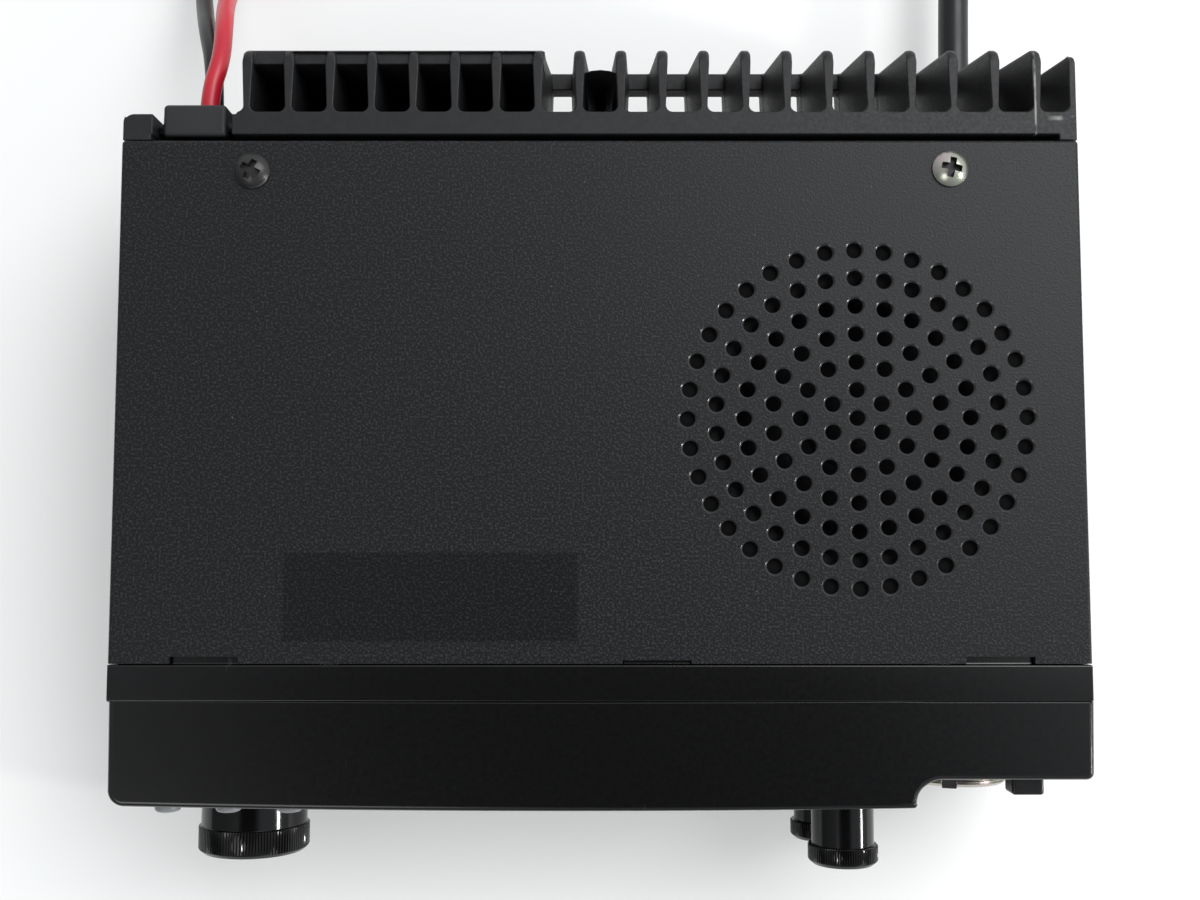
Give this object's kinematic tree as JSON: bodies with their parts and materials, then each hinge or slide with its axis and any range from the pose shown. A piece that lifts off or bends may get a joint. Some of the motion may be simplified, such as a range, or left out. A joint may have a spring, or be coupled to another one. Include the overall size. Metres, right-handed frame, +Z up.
{
  "type": "mobile ham radio",
  "caption": "Compact vehicle transceiver with finned heat sink, speaker grille, dial, knobs, microphone socket and short power and antenna leads.",
  "frame": {"origin": "on the flat underside, in the middle of the casing's width and about half way between the front face and the tips of the fins", "axes": "+X to the radio's right seen from the front controls, +Y to the rear with the heat sink, +Z up through the speaker grille"},
  "size_m": [0.1432, 0.2495, 0.0416],
  "materials": {
    "sheet_black": "fine textured charcoal paint",
    "cast_bare": "bare die casting",
    "cast_black": "matte black coating on a casting",
    "moulded_black": "satin",
    "window": "clear gloss",
    "lcd": "grey green cell",
    "guide": "milky",
    "board": "green laminate",
    "knob_black": "gloss with knurled edge",
    "steel": "zinc plated",
    "nickel": "nickel plated",
    "brass": "bare",
    "control_case": "dull grey metal case",
    "button_grey": "translucent light grey",
    "key_black": "satin",
    "insert_black": "satin",
    "cone": "treated paper",
    "magnet": "ferrite",
    "felt": "black felt",
    "module": "moulded module",
    "screw_black": "black zinc",
    "rubber": "moulded rubber",
    "wire_red": "soft vinyl",
    "wire_black": "soft vinyl",
    "plug_white": "natural nylon",
    "ptfe": "white dielectric"
  },
  "bodies": {
    "casing": {"chassis_frame": "cast_bare", "heat_sink": "cast_black", "top_cover": "sheet_black", "bottom_cover": "sheet_black", "front_frame": "moulded_black", "front_panel": "moulded_black", "display_window": "window", "lcd_glass": "lcd", "light_guide": "guide", "lcd_holder": "steel", "front_board": "board", "key_switches": "control_case", "dial_encoder": "control_case", "dial_nut": "steel", "volume_control": "control_case", "squelch_control": "control_case", "power_switch": "control_case", "mic_socket_shell": "nickel", "mic_socket_insert": "insert_black", "mic_socket_pins": "brass", "mic_socket_nut": "nickel", "speaker_basket": "steel", "speaker_cone": "cone", "speaker_magnet": "magnet", "speaker_felt": "felt", "speaker_clips": "steel", "upper_board": "board", "main_board": "board", "shield_cans": "steel", "power_module": "module", "black_cover_screws": "screw_black", "nickel_cover_screw": "nickel", "sink_screws": "screw_black", "inner_screws": "steel", "power_grommet": "rubber", "antenna_gland": "rubber", "speaker_jack": "nickel", "red_lead": "wire_red", "black_lead": "wire_black", "power_plug": "plug_white", "power_plug_contacts": "brass", "antenna_lead": "wire_black", "aerial_socket_shell": "nickel", "aerial_socket_core": "ptfe", "aerial_socket_contact": "brass"},
    "dial": {"main_knob": "knob_black", "dial_shaft": "steel"},
    "volume": {"volume_knob": "knob_black", "volume_shaft": "steel"},
    "squelch": {"squelch_knob": "knob_black", "squelch_shaft": "steel"},
    "power": {"power_button": "key_black"},
    "button_left": {"round_button_left": "button_grey"},
    "button_middle": {"round_button_middle": "button_grey"},
    "button_right": {"round_button_right": "button_grey"},
    "key_1": {"function_key_1": "key_black"},
    "key_2": {"function_key_2": "key_black"},
    "key_3": {"function_key_3": "key_black"},
    "key_4": {"function_key_4": "key_black"},
    "key_5": {"function_key_5": "key_black"}
  },
  "joints": [
    {"name": "dial_turn", "type": "hinge", "parent": "casing", "child": "dial", "pos_m": [-0.0536, -0.0545, 0.02], "axis": [0, -1, 0], "continuous": true},
    {"name": "volume_turn", "type": "hinge", "parent": "casing", "child": "volume", "pos_m": [0.03595, -0.0545, 0.0295], "axis": [0, -1, 0], "range_deg": [-150, 150]},
    {"name": "squelch_turn", "type": "hinge", "parent": "casing", "child": "squelch", "pos_m": [0.03595, -0.0545, 0.0114], "axis": [0, -1, 0], "range_deg": [-150, 150]},
    {"name": "power_press", "type": "slide", "parent": "casing", "child": "power", "axis": [0, 1, 0], "range_m": [0, 0.002], "stiffness_N_per_m": 1200},
    {"name": "button_left_press", "type": "slide", "parent": "casing", "child": "button_left", "axis": [0, 1, 0], "range_m": [0, 0.0006], "stiffness_N_per_m": 1500},
    {"name": "button_middle_press", "type": "slide", "parent": "casing", "child": "button_middle", "axis": [0, 1, 0], "range_m": [0, 0.0006], "stiffness_N_per_m": 1500},
    {"name": "button_right_press", "type": "slide", "parent": "casing", "child": "button_right", "axis": [0, 1, 0], "range_m": [0, 0.0006], "stiffness_N_per_m": 1500},
    {"name": "key_1_press", "type": "slide", "parent": "casing", "child": "key_1", "axis": [0, 1, 0], "range_m": [0, 0.0006], "stiffness_N_per_m": 1500},
    {"name": "key_2_press", "type": "slide", "parent": "casing", "child": "key_2", "axis": [0, 1, 0], "range_m": [0, 0.0006], "stiffness_N_per_m": 1500},
    {"name": "key_3_press", "type": "slide", "parent": "casing", "child": "key_3", "axis": [0, 1, 0], "range_m": [0, 0.0006], "stiffness_N_per_m": 1500},
    {"name": "key_4_press", "type": "slide", "parent": "casing", "child": "key_4", "axis": [0, 1, 0], "range_m": [0, 0.0006], "stiffness_N_per_m": 1500},
    {"name": "key_5_press", "type": "slide", "parent": "casing", "child": "key_5", "axis": [0, 1, 0], "range_m": [0, 0.0006], "stiffness_N_per_m": 1500}
  ]
}
